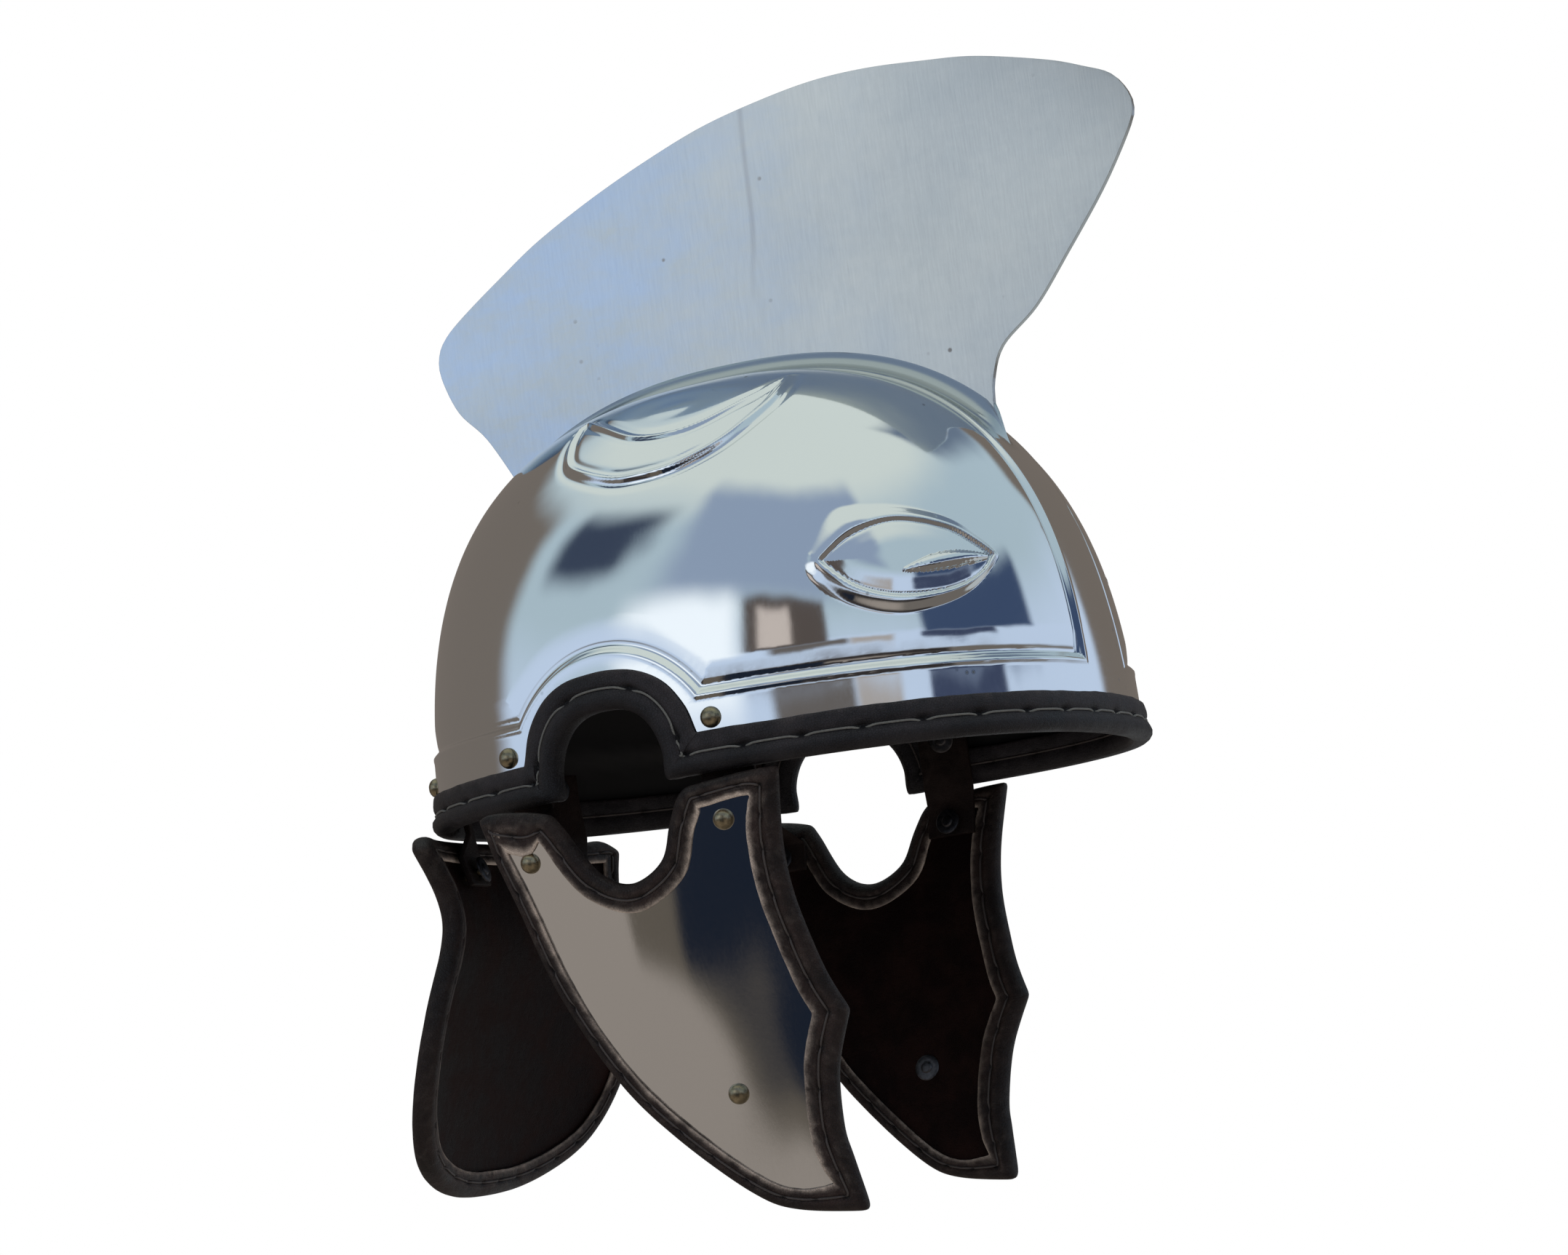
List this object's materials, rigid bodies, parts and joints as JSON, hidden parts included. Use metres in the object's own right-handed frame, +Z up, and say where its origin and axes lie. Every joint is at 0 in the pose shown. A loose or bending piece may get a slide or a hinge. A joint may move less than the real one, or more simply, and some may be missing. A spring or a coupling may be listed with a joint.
{
  "type": "helmet",
  "caption": "Late Roman style helmet: polished steel bowl with a tall flat comb, leather-bound rim with ear openings, hanging cheek pieces and neck guard.",
  "frame": {"origin": "middle of the bowl's opening, in the plane of the rim binding's lower edge, where the wearer's head enters", "axes": "+Z up along the head, -Y to the face, the wearer's right side at -X"},
  "size_m": [0.2296, 0.3, 0.3894],
  "materials": {
    "steel": "polished bowl, brushed comb and plates",
    "rim_leather": "near-black grained leather with a long grey stitch",
    "brown_leather": "dark brown grained leather with frayed paler edges",
    "brass": "antique domed rivets"
  },
  "bodies": {
    "root": {"skull": "steel", "cheek_plate_right": "steel", "cheek_plate_left": "steel", "neck_plate": "steel", "rim_binding": "rim_leather", "cheek_backing_right": "brown_leather", "cheek_edging_right": "brown_leather", "cheek_strap_front_right": "brown_leather", "cheek_strap_back_right": "brown_leather", "neck_strap_right": "brown_leather", "cheek_backing_left": "brown_leather", "cheek_edging_left": "brown_leather", "cheek_strap_front_left": "brown_leather", "cheek_strap_back_left": "brown_leather", "neck_strap_left": "brown_leather", "neck_backing": "brown_leather", "neck_edging": "brown_leather", "bowl_rivet_front_right": "brass", "bowl_rivet_back_right": "brass", "cheek_rivet_front_right": "brass", "cheek_rivet_back_right": "brass", "cheek_rivet_low_right": "brass", "neck_rivet_top_right": "brass", "neck_rivet_low_right": "brass", "bowl_rivet_front_left": "brass", "bowl_rivet_back_left": "brass", "cheek_rivet_front_left": "brass", "cheek_rivet_back_left": "brass", "cheek_rivet_low_left": "brass", "neck_rivet_top_left": "brass", "neck_rivet_low_left": "brass"}
  },
  "joints": []
}
